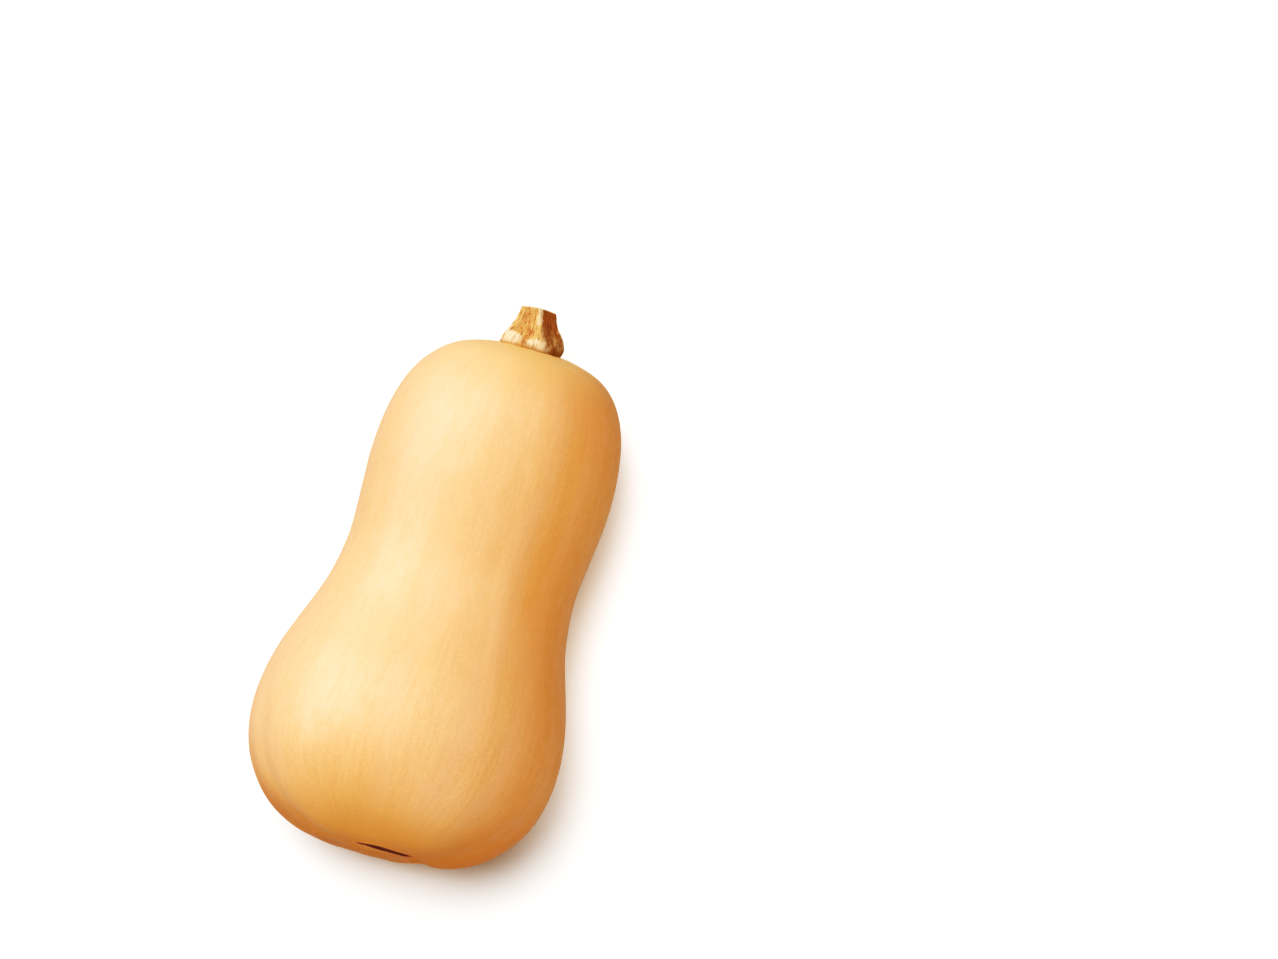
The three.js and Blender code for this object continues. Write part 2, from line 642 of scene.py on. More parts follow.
@dataclass(frozen=True)
class BlossomScar:
    """The corky scar at the blossom end: a disc of cork in a pit under a rolled lip.

    Sizes are in millimetres. Edges, rings and humps run over the spread of the pit or of the disc.
    The rings' pace and the height of their waver are in radians.
    """

    pit: UnevenRound = UnevenRound(3.6, -0.5, 14.2, 13.6, ((0.05, 3.0, 0.8), (0.03, 7.0, 0.0)))
    disc: UnevenRound = UnevenRound(3.6, 2.0, 13.6, 8.5, ((0.04, 4.0, 0.5), (0.025, 9.0, 2.0)), 2.2)
    # A painted shadow line along the crest of the lip; it only colours the surface.
    lip_shadow_line: Crease = Crease(((-10.2, 7.4), (-8.6, 9.2), (-5.9, 11.4), (-3.2, 12.9)), 0.0, 1.2)
    reach: Grade = Grade(30.0, 20.0)
    depth: float = 2.6
    least_depth: float = 0.12
    pit_wall: Grade = Grade(1.02, 0.84)
    pit_slope: Grade = Grade(-1.0, 0.75)
    lip_height: float = 0.7
    lip_ring: Hump = Hump(1.16, 0.16)
    lip_side: Grade = Grade(-0.3, 0.5)
    ring_height: float = 0.12
    ring_pace: float = 26.0
    ring_waver: Waves = Waves(1.5, 4.0, 4.0, 3.1)
    crumbs: Waves = Waves(0.15, 1.6, 1.6, 7.4)
    crumb_edge: Grade = Grade(1.0, 0.85)
    nub_height: float = 0.9
    nub: Hump = Hump(0.0, 0.13)
    core_edge: Grade = Grade(0.62, 0.4)
    disc_edge: Grade = Grade(1.12, 0.84)
    pit_edge: Grade = Grade(1.05, 0.93)
    # The dark ring is dark cork and painted shade of the pit under the lip.
    dark_ring: Grade = Grade(0.97, 0.82)
    nub_ring: Hump = Hump(0.2, 0.07)
    nub_shade: float = 0.8

    def heights(self, at: Straight) -> np.ndarray:
        """How much the pit, its lip and the cork in it sink and raise the surface.

        Args:
            at: The places on the straight fruit.

        Returns:
            Heights in millimetres.
        """
        spread, disc = self.pit.spread(at), self.disc.spread(at)
        upper = (at.up - self.pit.up) / self.pit.half_height
        deep = self.least_depth + (1.0 - self.least_depth) * self.pit_slope.of(upper)
        pit = -self.depth * self.pit_wall.of(spread) * deep
        lip = self.lip_height * self.lip_ring.of(spread) * self.lip_side.of(upper)
        places = np.stack([at.across, np.zeros_like(at.along), at.up], axis=1)
        rings = np.cos(self.ring_pace * disc + self.ring_waver.at(places))
        rings = self.ring_height * rings * self.core_edge.of(disc)
        crumbs = self.crumbs.at(places) * self.crumb_edge.of(disc)
        nub = self.nub_height * self.nub.of(disc)
        return (pit + lip + rings + crumbs + nub) * self.reach.of(at.along)

    def masks(self, at: Straight) -> dict[str, np.ndarray]:
        """Where the finish of the scar goes.

        Args:
            at: The places on the straight fruit.

        Returns:
            Masks from 0 to 1: scar and not skin, dark cork and painted pit shade, old pale cork, and
                a painted shadow line by the lip.
        """
        disc, near = self.disc.spread(at), self.reach.of(at.along)
        # Dark cork, and painted shade of the pit at the disc's rim.
        dark = np.maximum(self.dark_ring.of(disc), self.nub_shade * self.nub_ring.of(disc))
        return {
            "scar": self.disc_edge.of(disc) * self.pit_edge.of(self.pit.spread(at)) * near,
            "scar_dark_and_pit_shade": dark,
            "scar_core": self.core_edge.of(disc),
            "lip_shadow_line": self.lip_shadow_line.closeness(at) * near,
        }


@dataclass(frozen=True)
class RindTones:
    """Where the rind is deeper or paler than its plain tone, partly its own colour and partly painted
    light and shade.

    Grades and humps run over millimetres along, across or up the straight fruit, or from its axis.
    Those of a side run over the sine of the turn: 0 on top and below, 1 on the right.
    """

    blossom_along: Grade = Grade(64.0, 8.0)
    blossom_round: Grade = Grade(64.0, 18.0)
    seat_along: Grade = Grade(165.0, 193.0)
    seat_round: Grade = Grade(42.0, 14.0)
    # These shape the painted shade in deep orange on the low side of the blossom end.
    ember_up: Grade = Grade(39.0, -2.0)
    ember_along: Grade = Grade(44.0, 4.0)
    ember_round: Grade = Grade(3.0, 14.0)
    ember_edge: Waves = Waves(5.0, 17.0, 17.0, 6.4)
    ember_lean: float = 0.35
    left_across: Grade = Grade(-14.0, -38.0)
    left_up: Grade = Grade(26.0, -2.0)
    # These set the painted light and shade of the plain tone: painted shade towards the right flank,
    # a painted highlight on the bulb.
    plain: float = 0.13
    deeper: float = 0.22
    flank_round: Grade = Grade(0.0, 30.0)
    even_along: Grade = Grade(70.0, 20.0)
    even_share: float = 0.25
    pale_along: Hump = Hump(48.0, 24.0)
    pale_side: Hump = Hump(0.68, 0.17)
    pale_share: float = 0.3
    mottle_round: Grade = Grade(12.0, 38.0)
    more_along: Grade = Grade(90.0, 40.0)
    more_share: float = 0.35
    less_along: Grade = Grade(180.0, 198.0)
    less_share: float = 0.4
    # These shape the painted shade on the right flank.
    flank_shade_bulb: float = 0.52
    flank_shade_widening: float = 0.2
    flank_shade_along: Grade = Grade(85.0, 125.0)
    flank_shade_full: float = 0.88
    flank_shade_edge: Grade = Grade(0.84, 0.99)
    flank_shade_edge_share: float = 0.25
    flank_shade_round: Grade = Grade(25.0, 40.0)
    flank_shade_gap: Hump = Hump(147.0, 24.0)
    flank_shade_gap_share: float = 0.55

    def masks(self, at: Straight) -> dict[str, np.ndarray]:
        """Where each tone of the rind goes.

        Args:
            at: The places on the straight fruit.

        Returns:
            The masks by name. All but the painted light and shade and the mottle go from 0 to 1.
        """
        near_blossom = self.blossom_along.of(at.along)
        patterned = 1.0 + self.more_share * self.more_along.of(at.along)
        patterned = patterned - self.less_share * self.less_along.of(at.along)
        return {
            "blossom": self.blossom_round.of(at.radius) * near_blossom,
            "painted_blossom_shade": self._painted_blossom_shade(at),
            "seat": self.seat_round.of(at.radius) * self.seat_along.of(at.along),
            "painted_light_and_shade": self._painted_light_and_shade(at),
            "mottle": self.mottle_round.of(at.radius) * patterned,
            "painted_flank_shade": self._painted_flank_shade(at),
        }

    def _painted_blossom_shade(self, at: Straight) -> np.ndarray:
        """Painted shade in deep orange round and below the blossom scar, on the low side of the
        blossom end.

        Args:
            at: The places on the straight fruit.

        Returns:
            The mask, from 0 to 1.
        """
        shift = self.ember_edge.at(at.rows()) + self.ember_lean * np.maximum(-at.across, 0.0)
        left = self.left_across.of(at.across) * self.left_up.of(at.up)
        below = np.maximum(self.ember_up.of(at.up + shift), left)
        return below * self.ember_along.of(at.along) * self.ember_round.of(at.radius)

    def _painted_light_and_shade(self, at: Straight) -> np.ndarray:
        """How deep the plain tone is: painted shade deepest on the right flank, a paler painted
        highlight on the bulb.

        Args:
            at: The places on the straight fruit.

        Returns:
            Shares of the deep tone.
        """
        side = np.sin(at.turn)
        evenness = 1.0 - self.even_share * self.even_along.of(at.along)
        # Painted shade: the tone deepens towards the right flank, which is turned from the light.
        flank = side * self.flank_round.of(at.radius) * evenness
        # Painted highlight: a paler place on the bulb.
        paler = self.pale_share * self.pale_along.of(at.along) * self.pale_side.of(side)
        return self.plain + self.deeper * (1.0 + flank) ** 2 - paler

    def _painted_flank_shade(self, at: Straight) -> np.ndarray:
        """Painted shade in deep orange on the right flank, which is narrower on the bulb.

        Args:
            at: The places on the straight fruit.

        Returns:
            The mask, from 0 to 1.
        """
        side = np.sin(at.turn)
        start = self.flank_shade_bulb - self.flank_shade_widening * self.flank_shade_along.of(at.along)
        painted_flank_shade = Grade(0.0, 1.0).of((side - start) / (self.flank_shade_full - start))
        painted_flank_shade = painted_flank_shade * (1.0 - self.flank_shade_edge_share * self.flank_shade_edge.of(side))
        gap = 1.0 - self.flank_shade_gap_share * self.flank_shade_gap.of(at.along)
        return painted_flank_shade * self.flank_shade_round.of(at.radius) * gap


@dataclass
class SquashFruit:
    """The fruit: neck, waist and bulb, the blossom scar and the seat of the stem."""

    form: GourdForm = field(default_factory=GourdForm)
    scar: BlossomScar = field(default_factory=BlossomScar)
    tones: RindTones = field(default_factory=RindTones)
    segments: int = 80
    spacing: tuple[tuple[float, float], ...] = ((22.0, 1.7), (1000.0, 4.4))
    subdivisions: int = 2
    girth: float = 50.0
    lobe_count: float = 5.0
    lobe_height: float = 0.8
    lobe_turn: float = 0.5
    lobe_along: Grade = Grade(45.0, 0.0)
    lobe_round: Grade = Grade(12.0, 34.0)
    swells: tuple[Waves, ...] = (
        Waves(height=0.24, across=17.0, along=150.0, seed=3.7),
        Waves(height=0.12, across=8.0, along=90.0, seed=11.3),
        Waves(height=0.22, across=34.0, along=40.0, seed=7.1),
    )
    swell_start: Grade = Grade(4.0, 26.0)
    swell_end: Grade = Grade(201.0, 186.0)
    pleat_count: float = 10.0
    pleat_height: float = 0.07
    pleat_waver: tuple[float, float] = (0.7, 3.0)
    pleat_outer: Grade = Grade(25.0, 13.0)
    pleat_inner: Grade = Grade(4.0, 10.0)
    pleat_along: Grade = Grade(185.0, 192.0)
    furrows: tuple[Furrow, ...] = (
        Furrow(turn=-1.12, depth=0.7, width=4.5, start=8.0, end=88.0),
        Furrow(turn=-0.35, depth=0.3, width=5.0, start=4.0, end=40.0),
        Furrow(turn=0.45, depth=0.35, width=5.5, start=4.0, end=46.0),
        Furrow(turn=1.25, depth=0.4, width=6.0, start=6.0, end=64.0),
        Furrow(turn=2.35, depth=0.7, width=6.0, start=6.0, end=60.0),
        Furrow(turn=3.05, depth=0.5, width=5.0, start=6.0, end=50.0),
        Furrow(turn=-2.1, depth=0.7, width=6.0, start=6.0, end=64.0),
    )
    creases: tuple[Crease, ...] = (
        Crease(
            ((11, 12), (15.2, 7.2), (17.8, 1.5), (19.4, -5), (20.3, -14), (21.5, -26), (25, -38)),
            depth=0.55,
            width=2.4,
        ),
        Crease(((-9, 8), (-13, 8.6), (-19, 6), (-27, 3)), depth=0.3, width=1.4),
        Crease(((-10, 2), (-17, -4), (-24, -8)), depth=0.3, width=1.5),
    )
    dents: tuple[Dent, ...] = (Dent(across=Hump(4.8, 13.5), up=Hump(-18.0, 11.0), depth=1.75),)

    def build(self) -> Piece:
        """Models the fruit and lays it on the floor.

        Returns:
            The finished piece, without its material.
        """
        outline = self.form.outline.points(self.spacing)
        rings = [self.form.ring(distance, radius) for distance, radius in outline]
        piece = Grower.grow("squash_fruit", rings, self.segments)
        Bench.smooth(piece, self.subdivisions)
        Bench.close_up(piece)
        for name, heights in (
            ("growth", self._growth),
            ("furrows", self._furrows),
            ("scar", self.scar.heights),
            ("seat", self._seat),
        ):
            Bench.relief(piece, name, heights(self.form.unbend(Bench.places(piece))))
        at = self.form.unbend(Bench.places(piece))
        grown = at.rolled_out(self.girth) * MM
        Bench.tag(piece, grown=grown, **self.scar.masks(at), **self.tones.masks(at))
        self.form.lay(piece)
        self._flatten_rests(piece)
        return piece

    def _growth(self, at: Straight) -> np.ndarray:
        """Heights of the bulb's lobes, of the bands along the fruit and of its soft lumps.

        Args:
            at: The places on the straight fruit.

        Returns:
            Heights in millimetres.
        """
        lobes = self.lobe_height * np.cos(self.lobe_count * turned(at.turn, self.lobe_turn))
        lobes = lobes * self.lobe_along.of(at.along) * self.lobe_round.of(at.radius)
        tube = at.rolled_out(self.girth)
        ends = self.swell_start.of(at.along) * self.swell_end.of(at.along)
        return lobes + sum(swell.at(tube) for swell in self.swells) * ends

    def _furrows(self, at: Straight) -> np.ndarray:
        """Heights of the furrows that gather at the scar, and of its creases and dents."""
        return sum(fold.heights(at) for fold in (*self.furrows, *self.creases, *self.dents))

    def _seat(self, at: Straight) -> np.ndarray:
        """Heights of the pleats around the foot of the stem.

        Args:
            at: The places on the straight fruit.

        Returns:
            Heights in millimetres.
        """
        size, count = self.pleat_waver
        pleats = np.cos(self.pleat_count * at.turn + size * np.sin(count * at.turn))
        round_foot = self.pleat_outer.of(at.radius) * self.pleat_inner.of(at.radius)
        return self.pleat_height * pleats * round_foot * self.pleat_along.of(at.along)

    @staticmethod
    def _flatten_rests(piece: Piece) -> None:
        """Presses the two low places flat where the fruit lies on the floor.

        Args:
            piece: The fruit, laid in the model's frame.
        """
        Bench.take(piece)
        bpy.ops.object.mode_set(mode="EDIT")
        Bench.select(piece, lambda place: place.z < 0.0)
        bpy.ops.transform.resize(value=(1.0, 1.0, 0.0), center_override=(0.0, 0.0, 0.0))
        bpy.ops.mesh.select_all(action="DESELECT")
        bpy.ops.object.mode_set(mode="OBJECT")


# ------------------------------------------------------------------------------- the stem's form


@dataclass
class StemStub:
    """The dry, five-ribbed stub of the stem, in millimetres and radians.

    It grows along +Y in its own frame, so its heights run along it.
    """

    form: GourdForm = field(default_factory=GourdForm)
    outline: Outline = Outline(
        (
            (-2.6, 9.4), (-2.2, 11.1), (-1.0, 12.3), (0.8, 12.8), (2.6, 12.8), (4.4, 12.3),
            (6.3, 11.3), (8.4, 9.8), (10.3, 8.7), (12.4, 7.9), (14.3, 7.4), (14.8, 7.25),
        )
    )
    segments: int = 60
    spacing: tuple[tuple[float, float], ...] = ((1000.0, 1.15),)
    subdivisions: int = 2
    lean: float = 0.09
    rise: float = 0.03
    offset: float = -1.8
    girth: float = 9.0
    cut_tilt: float = -0.12
    tilt_start: float = 8.0
    cut_insets: tuple[tuple[float, float], ...] = (
        (0.3, 0.0), (0.9, -0.3), (1.2, -0.1), (1.4, 0.1), (1.4, 0.05),
    )
    cut_tolerance: float = 0.01
    cut_height: Grade = Grade(-0.8, -0.45)
    cut_round: Grade = Grade(7.15, 6.75)
    rim_height: Grade = Grade(-0.5, -0.15)
    rib_count: int = 5
    rib_turn: float = 0.44
    rib_depth: float = 2.3
    rib_softness: float = 0.2
    rib_girth: float = 11.0
    rib_side: Grade = Grade(2.0, 6.0)
    rib_rise: Grade = Grade(-1.0, 7.0)
    rib_foot_share: float = 0.3
    twist: float = 0.26
    twist_height: float = 12.0
    side: Grade = Grade(5.0, 6.4)
    foot: Grade = Grade(5.0, 1.0)
    fibres: tuple[Waves, ...] = (
        Waves(height=0.12, across=1.1, along=9.0, seed=2.3),
        Waves(height=0.084, across=0.55, along=4.0, seed=8.9),
    )
    fibre_foot_share: float = 0.5
    warts: Waves = Waves(height=0.12, across=2.6, along=2.2, seed=5.7)
    wart_foot_share: float = 4.0 / 3.0
    cut_grain: Waves = Waves(height=0.15, across=0.8, along=3.0, seed=4.2)
    grain_round: Grade = Grade(6.2, 5.0)
    grain_height: Grade = Grade(12.0, 13.0)
    brown_from: Grade = Grade(-0.05, 0.3)
    brown_to: Grade = Grade(2.9, 2.2)
    brown_height: Grade = Grade(3.0, 11.0)
    brown_low: float = 0.8
    brown_more: float = 0.4
    patch_height: Hump = Hump(3.2, 3.4)
    patch_turn: Hump = Hump(0.75, 0.42)
    patch_share: float = 0.75

    def build(self) -> Piece:
        """Models the stub and stands it on the fruit.

        Returns:
            The finished piece, without its material.
        """
        outline = np.array(self.outline.points(self.spacing))
        tilts = self.cut_tilt * Grade(self.tilt_start, self.outline.end).of(outline[:, 0])
        rings = [
            Ring(Vector((0.0, distance, 0.0)) * MM, radius * MM, tilt)
            for (distance, radius), tilt in zip(outline.tolist(), tilts.tolist())
        ]
        piece = Grower.grow("stem_stub", rings, self.segments)
        self._inset_cut(piece)
        Bench.smooth(piece, self.subdivisions)
        Bench.close_up(piece)
        self._tag_cut(piece)
        at = self._places(piece)
        ribs = self._ribs(at)
        Bench.relief(piece, "ribs_x", ribs * np.sin(at.turn), "X")
        Bench.relief(piece, "ribs_z", ribs * np.cos(at.turn), "Z")
        Bench.relief(piece, "fibres", self._fibres(self._places(piece)))
        self._tag(piece)
        self._stand(piece)
        self.form.lay(piece)
        return piece

    @staticmethod
    def _places(piece: Piece) -> Straight:
        """Where the corners of the stub lie in its own frame."""
        across, along, up = Bench.places(piece).T / MM
        return Straight(along, across, up)

    def _inset_cut(self, piece: Piece) -> None:
        """Insets the cut end so that its rim stays crisp when the form is smoothed.

        Args:
            piece: The stub, before it is smoothed.
        """
        Bench.take(piece)
        bpy.ops.object.mode_set(mode="EDIT")
        low, slant = (self.outline.end - self.cut_tolerance) * MM, math.tan(self.cut_tilt)
        Bench.select(piece, lambda place: place.y + place.z * slant > low)
        for width, depth in self.cut_insets:
            bpy.ops.mesh.inset(thickness=width * MM, depth=depth * MM)
        bpy.ops.object.mode_set(mode="OBJECT")

    def _tag_cut(self, piece: Piece) -> None:
        """Stores where the cut face and its rim are. The hollow faces must not be drawn in yet.

        Args:
            piece: The smooth stub, still round.
        """
        at = self._places(piece)
        face = at.along + at.up * math.tan(self.cut_tilt) - self.outline.end
        cut = self.cut_height.of(face) * self.cut_round.of(at.radius)
        Bench.tag(piece, cut=cut, rim=self.rim_height.of(face))

    def _off_rib(self, at: Straight) -> np.ndarray:
        """Turn from the first rib, which twists as it rises."""
        twist = self.twist * np.clip(at.along / self.twist_height, 0.0, 1.0)
        return turned(at.turn, self.rib_turn - twist)

    def _face(self, at: Straight) -> np.ndarray:
        """How far a place is from the nearest rib.

        Args:
            at: The places on the stub.

        Returns:
            0 on a rib, 1 in the middle of a face.
        """
        off = np.sin(self.rib_count / 2.0 * self._off_rib(at))
        soft = self.rib_softness
        return (np.sqrt(off * off + soft * soft) - soft) / (math.sqrt(1.0 + soft * soft) - soft)

    def _ribs(self, at: Straight) -> np.ndarray:
        """Heights of the five faces, which are hollow between the ribs.

        Args:
            at: The places on the stub.

        Returns:
            Heights in millimetres.
        """
        upper = self.rib_foot_share + (1.0 - self.rib_foot_share) * self.rib_rise.of(at.along)
        share = self._face(at) * self.rib_side.of(at.radius) * upper
        return -self.rib_depth * share * at.radius / self.rib_girth

    def _fibres(self, at: Straight) -> np.ndarray:
        """Heights of the dry fibres, of the corky warts and of the grain of the cut.

        Args:
            at: The places on the stub.

        Returns:
            Heights in millimetres.
        """
        tube, foot = at.rolled_out(self.girth), self.foot.of(at.along)
        fibres = sum(fibre.at(tube) for fibre in self.fibres) * (1.0 - self.fibre_foot_share * foot)
        warts = self.warts.at(tube) * (1.0 + self.wart_foot_share * foot)
        grain = self.cut_grain.at(at.rows()) * self.grain_round.of(at.radius)
        return self.side.of(at.radius) * (fibres + warts) + grain * self.grain_height.of(at.along)

    def _tag(self, piece: Piece) -> None:
        """Stores the height, the rib, the brownish side with its painted shade and the straightened
        place of each corner.

        Args:
            piece: The ribbed stub.
        """
        at = self._places(piece)
        off = self._off_rib(at)
        patch = self.patch_height.of(at.along) * self.patch_turn.of(off)
        # The brownish side is partly the stem's own colour and partly painted shade on the side
        # turned from the light.
        brown_and_shade = self.brown_from.of(off) * self.brown_to.of(off)
        brown_and_shade = brown_and_shade * (self.brown_low + self.brown_more * self.brown_height.of(at.along))
        Bench.tag(
            piece,
            height=np.clip(at.along / self.outline.end, 0.0, 1.0),
            rib=1.0 - self._face(at),
            brown_and_shade=brown_and_shade * (1.0 - self.patch_share * patch),
            grown=at.rolled_out(self.girth) * MM,
        )

    def _stand(self, piece: Piece) -> None:
        """Stands the stub on the stem end of the centreline.

        Args:
            piece: The stub, in its own frame.
        """
        end = self.form.ring(self.form.length, 1.0)
        turn = Matrix.Rotation(self.lean, 4, "Z") @ Matrix.Rotation(end.pitch + self.rise, 4, "X")
        place = Matrix.Translation(end.middle + Vector((self.offset * MM, 0.0, 0.0)))
        Bench.take(piece)
        piece.matrix_world = place @ turn
        bpy.ops.object.transform_apply(location=True, rotation=True, scale=True)


# ------------------------------------------------------------------------------- finishes


class Tone(Enum):
    """Linear colours of the skin, the dry stem and the floor."""

    # Pale and deep skin are also the lit and shaded ends of the painted light and shade on the rind.
    SKIN_PALE = (0.80, 0.46, 0.245, 1.0)
    SKIN_DEEP = (0.73, 0.335, 0.092, 1.0)
    SKIN_RUST = (0.88, 0.38, 0.05, 1.0)
    # Deep orange used only for painted shade: on the right flank and on the low side of the blossom
    # end.
    SKIN_EMBER_SHADE = (0.67, 0.225, 0.014, 1.0)
    SKIN_CREAM = (0.90, 0.66, 0.40, 1.0)
    SKIN_BLUSH = (0.80, 0.44, 0.26, 1.0)
    SKIN_GOLD = (0.79, 0.495, 0.16, 1.0)
    # Near-black cork, and painted shade of the pit under the lip.
    SCAR_DARK_AND_SHADE = (0.20, 0.032, 0.012, 1.0)
    # Red-brown cork at the scar's edge, and the painted shadow line along the lip.
    SCAR_CORK_AND_LIP_SHADOW = (0.52, 0.13, 0.03, 1.0)
    SCAR_TAN = (0.54, 0.31, 0.14, 1.0)
    STRAW = (0.58, 0.34, 0.13, 1.0)
    # Painted shade at the foot of the stem, where it meets the skin.
    STEM_JOINT_SHADE = (0.36, 0.17, 0.035, 1.0)
    CREAM = (0.87, 0.68, 0.46, 1.0)
    # Rust-brown of the dry stem, also painted shade on its darker side and where the skin meets the
    # stem.
    RUST_AND_SHADE = (0.40, 0.145, 0.035, 1.0)
    BARK = (0.22, 0.075, 0.02, 1.0)
    PITH = (0.58, 0.50, 0.30, 1.0)
    FLOOR = (0.95, 0.95, 0.95, 1.0)
    FLOOR_BOUNCE = (0.35, 0.35, 0.35, 1.0)
    # Painted warm glow of the floor near the squash.
    GLOW = (1.0, 0.64, 0.34, 1.0)


Feed = Socket | float | tuple[float, ...]


class Board:
    """Places nodes in one tree and joins them."""

    FIRST_COLOUR = 6
    SECOND_COLOUR = 7
    MIXED_COLOUR = 2

    def __init__(self, tree: bpy.types.NodeTree) -> None:
        """Starts on a tree."""
        self.tree = tree

    def node(self, kind: str, **settings: object) -> bpy.types.Node:
        """Places a node.

        Args:
            kind: The node's type.
            settings: Properties of the node.

        Returns:
            The new node.
        """
        made = self.tree.nodes.new(kind)
        for name, value in settings.items():
            setattr(made, name, value)
        return made

    def feed(self, socket: Socket, value: Feed) -> None:
        """Joins a socket to another one, or sets its number or colour.

        Args:
            socket: The input.
            value: The output that is joined to it, or what it is set to.
        """
        if isinstance(value, Socket):
            self.tree.links.new(value, socket)
        else:
            socket.default_value = value

    def math(self, operation: str, first: Feed, second: Feed = 0.0) -> Socket:
        """One step of arithmetic.

        Args:
            operation: The Math node's operation.
            first: The first number.
            second: The second number.

        Returns:
            The result.
        """
        made = self.node("ShaderNodeMath", operation=operation)
        self.feed(made.inputs[0], first)
        self.feed(made.inputs[1], second)
        return made.outputs[0]

    def times(self, first: Feed, second: Feed) -> Socket:
        """Multiplies two numbers."""
        return self.math("MULTIPLY", first, second)

    def plus(self, first: Feed, second: Feed) -> Socket:
        """Adds two numbers."""
        return self.math("ADD", first, second)

    def minus(self, first: Feed, second: Feed) -> Socket:
        """Takes the second number from the first."""
        return self.math("SUBTRACT", first, second)

    def around(self, pattern: Feed, weight: Feed) -> Socket:
        """Makes a pattern swing around 0 and not around one half, and gives it a weight."""
        return self.times(self.minus(pattern, 0.5), weight)

    def grade(
        self, value: Feed, low: Feed, high: Feed, start: Feed = 0.0, end: Feed = 1.0
    ) -> Socket:
        """Goes smoothly from start to end while the value goes from low to high.

        Args:
            value: The number to grade.
            low: Where the grade is at its start.
            high: Where the grade is at its end.
            start: The first grade.
            end: The last grade.

        Returns:
            The grade.
        """
        made = self.node("ShaderNodeMapRange", interpolation_type="SMOOTHSTEP")
        for socket, number in zip(made.inputs, (value, low, high, start, end)):
            self.feed(socket, number)
        return made.outputs["Result"]

    def mix(self, share: Feed, first: Feed, second: Feed, blend: str = "MIX") -> Socket:
        """Mixes two colours.

        Args:
            share: How much of the second colour is taken.
            first: The first colour.
            second: The second colour.
            blend: How the second goes over the first.

        Returns:
            The mixed colour.
        """
        made = self.node("ShaderNodeMix", data_type="RGBA", blend_type=blend)
        self.feed(made.inputs["Factor"], share)
        self.feed(made.inputs[self.FIRST_COLOUR], first)
        self.feed(made.inputs[self.SECOND_COLOUR], second)
        return made.outputs[self.MIXED_COLOUR]

    def tag(self, name: str, kind: str = "Fac") -> Socket:
        """Reads an attribute of the piece."""
        return self.node("ShaderNodeAttribute", attribute_name=name).outputs[kind]

    def group(self, group: bpy.types.NodeTree, **feeds: Feed) -> Socket:
        """Places a node group.

        Args:
            group: The group.
            feeds: What goes into its inputs, by name.

        Returns:
            Its first output.
        """
        made = self.node("ShaderNodeGroup", node_tree=group)
        for name, value in feeds.items():
            self.feed(made.inputs[name], value)
        return made.outputs[0]


def start_material(name: str) -> tuple[bpy.types.Material, Board, bpy.types.Node]:
    """Starts a node material.

    Args:
        name: The material's name.

    Returns:
        The material, a board on it and its shader.
    """
    material = bpy.data.materials.new(name)
    material.use_nodes = True
    return material, Board(material.node_tree), material.node_tree.nodes["Principled BSDF"]


